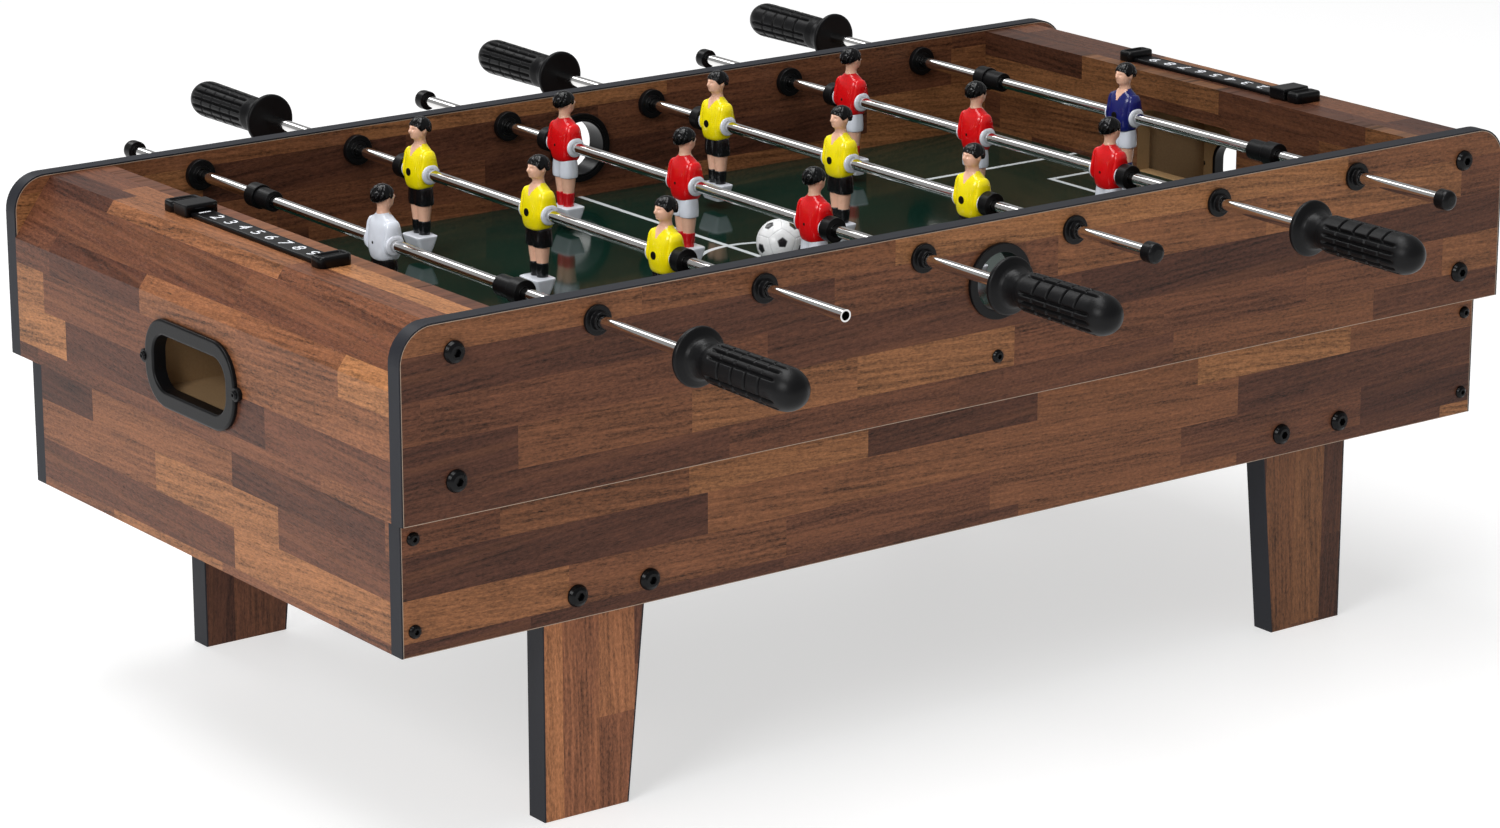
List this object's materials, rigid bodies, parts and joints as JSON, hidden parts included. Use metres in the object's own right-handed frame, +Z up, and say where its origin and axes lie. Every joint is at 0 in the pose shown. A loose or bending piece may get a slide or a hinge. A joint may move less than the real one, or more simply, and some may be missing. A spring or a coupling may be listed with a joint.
{
  "type": "foosball table",
  "caption": "Tabletop foosball table with walnut-look boards on short tapered legs, sliding and spinning player rods, ribbed grips, goals, ball entries and slide score counters.",
  "frame": {"origin": "on the floor under the middle of the table", "axes": "+X along the table's length, +Y towards the rear side panel, +Z up"},
  "size_m": [0.6932, 0.6756, 0.2755],
  "materials": {
    "laminate": "satin walnut butcher-block laminate",
    "raw_board": "raw fibreboard",
    "edging": "satin dark edge tape",
    "field_green": "glossy dark green print with white lines",
    "black_plastic": "moulded black plastic",
    "black_steel": "black zinc",
    "chrome_tube": "bright plated",
    "grip_black": "moulded ribbed",
    "stop_rubber": "matt",
    "team_white": "painted figure, white shirt",
    "team_yellow": "painted figure, yellow shirt",
    "team_red": "painted figure, red shirt",
    "team_navy": "painted figure, navy shirt",
    "ball_white": "white with black patches"
  },
  "bodies": {
    "frame": {"front_side_panel": "laminate", "rear_side_panel": "laminate", "left_end_cover": "laminate", "right_end_cover": "laminate", "left_goal_wall": "laminate", "right_goal_wall": "laminate", "goal_boxes": "raw_board", "playfield": "field_green", "field_cleats": "raw_board", "corner_blocks": "raw_board", "front_apron": "laminate", "rear_apron": "laminate", "left_lower_end": "laminate", "right_lower_end": "laminate", "front_left_leg": "laminate", "front_right_leg": "laminate", "rear_left_leg": "laminate", "rear_right_leg": "laminate", "edge_bands": "edging", "goal_bezels": "black_plastic", "ball_entries": "black_plastic", "rod_bearings": "black_plastic", "panel_bolts": "black_steel", "leg_bolts": "black_steel", "small_screws": "black_steel", "score_bars": "black_plastic"},
    "rod_1_slide": {"rod_1_stops": "stop_rubber"},
    "rod_1": {"rod_1_tube": "chrome_tube", "rod_1_grip": "grip_black", "rod_1_figures": "team_white", "rod_1_cap": "black_plastic"},
    "rod_2_slide": {"rod_2_stops": "stop_rubber"},
    "rod_2": {"rod_2_tube": "chrome_tube", "rod_2_grip": "grip_black", "rod_2_figures": "team_yellow"},
    "rod_3_slide": {"rod_3_stops": "stop_rubber"},
    "rod_3": {"rod_3_tube": "chrome_tube", "rod_3_grip": "grip_black", "rod_3_figures": "team_red", "rod_3_cap": "black_plastic"},
    "rod_4_slide": {"rod_4_stops": "stop_rubber"},
    "rod_4": {"rod_4_tube": "chrome_tube", "rod_4_grip": "grip_black", "rod_4_figures": "team_yellow", "rod_4_cap": "black_plastic"},
    "rod_5_slide": {"rod_5_stops": "stop_rubber"},
    "rod_5": {"rod_5_tube": "chrome_tube", "rod_5_grip": "grip_black", "rod_5_figures": "team_red", "rod_5_cap": "black_plastic"},
    "rod_6_slide": {"rod_6_stops": "stop_rubber"},
    "rod_6": {"rod_6_tube": "chrome_tube", "rod_6_grip": "grip_black", "rod_6_figures": "team_navy", "rod_6_cap": "black_plastic"},
    "left_slider": {"left_score_slider": "black_plastic"},
    "right_slider": {"right_score_slider": "black_plastic"},
    "ball": {"ball": "ball_white"}
  },
  "joints": [
    {"name": "rod_1_push", "type": "slide", "parent": "frame", "child": "rod_1_slide", "axis": [0, 1, 0], "range_m": [-0.0448, 0.0514]},
    {"name": "rod_1_spin", "type": "hinge", "parent": "rod_1_slide", "child": "rod_1", "pos_m": [-0.23675, 0, 0.2465], "axis": [0, 1, 0], "continuous": true},
    {"name": "rod_2_push", "type": "slide", "parent": "frame", "child": "rod_2_slide", "axis": [0, 1, 0], "range_m": [-0.0478, 0.0412]},
    {"name": "rod_2_spin", "type": "hinge", "parent": "rod_2_slide", "child": "rod_2", "pos_m": [-0.14205, 0, 0.2465], "axis": [0, 1, 0], "continuous": true},
    {"name": "rod_3_push", "type": "slide", "parent": "frame", "child": "rod_3_slide", "axis": [0, 1, 0], "range_m": [-0.0545, 0.0345]},
    {"name": "rod_3_spin", "type": "hinge", "parent": "rod_3_slide", "child": "rod_3", "pos_m": [-0.04735, 0, 0.2465], "axis": [0, 1, 0], "continuous": true},
    {"name": "rod_4_push", "type": "slide", "parent": "frame", "child": "rod_4_slide", "axis": [0, 1, 0], "range_m": [-0.0478, 0.0412]},
    {"name": "rod_4_spin", "type": "hinge", "parent": "rod_4_slide", "child": "rod_4", "pos_m": [0.04735, 0, 0.2465], "axis": [0, 1, 0], "continuous": true},
    {"name": "rod_5_push", "type": "slide", "parent": "frame", "child": "rod_5_slide", "axis": [0, 1, 0], "range_m": [-0.0525, 0.0365]},
    {"name": "rod_5_spin", "type": "hinge", "parent": "rod_5_slide", "child": "rod_5", "pos_m": [0.14205, 0, 0.2465], "axis": [0, 1, 0], "continuous": true},
    {"name": "rod_6_push", "type": "slide", "parent": "frame", "child": "rod_6_slide", "axis": [0, 1, 0], "range_m": [-0.0448, 0.0514]},
    {"name": "rod_6_spin", "type": "hinge", "parent": "rod_6_slide", "child": "rod_6", "pos_m": [0.23675, 0, 0.2465], "axis": [0, 1, 0], "continuous": true},
    {"name": "left_score", "type": "slide", "parent": "frame", "child": "left_slider", "axis": [0, -1, 0], "range_m": [0, 0.1133]},
    {"name": "right_score", "type": "slide", "parent": "frame", "child": "right_slider", "axis": [0, 1, 0], "range_m": [0, 0.1133]},
    {"name": "ball_roll", "type": "slide", "parent": "frame", "child": "ball", "axis": [0, 1, 0], "range_m": [-0.13, 0.15]}
  ]
}
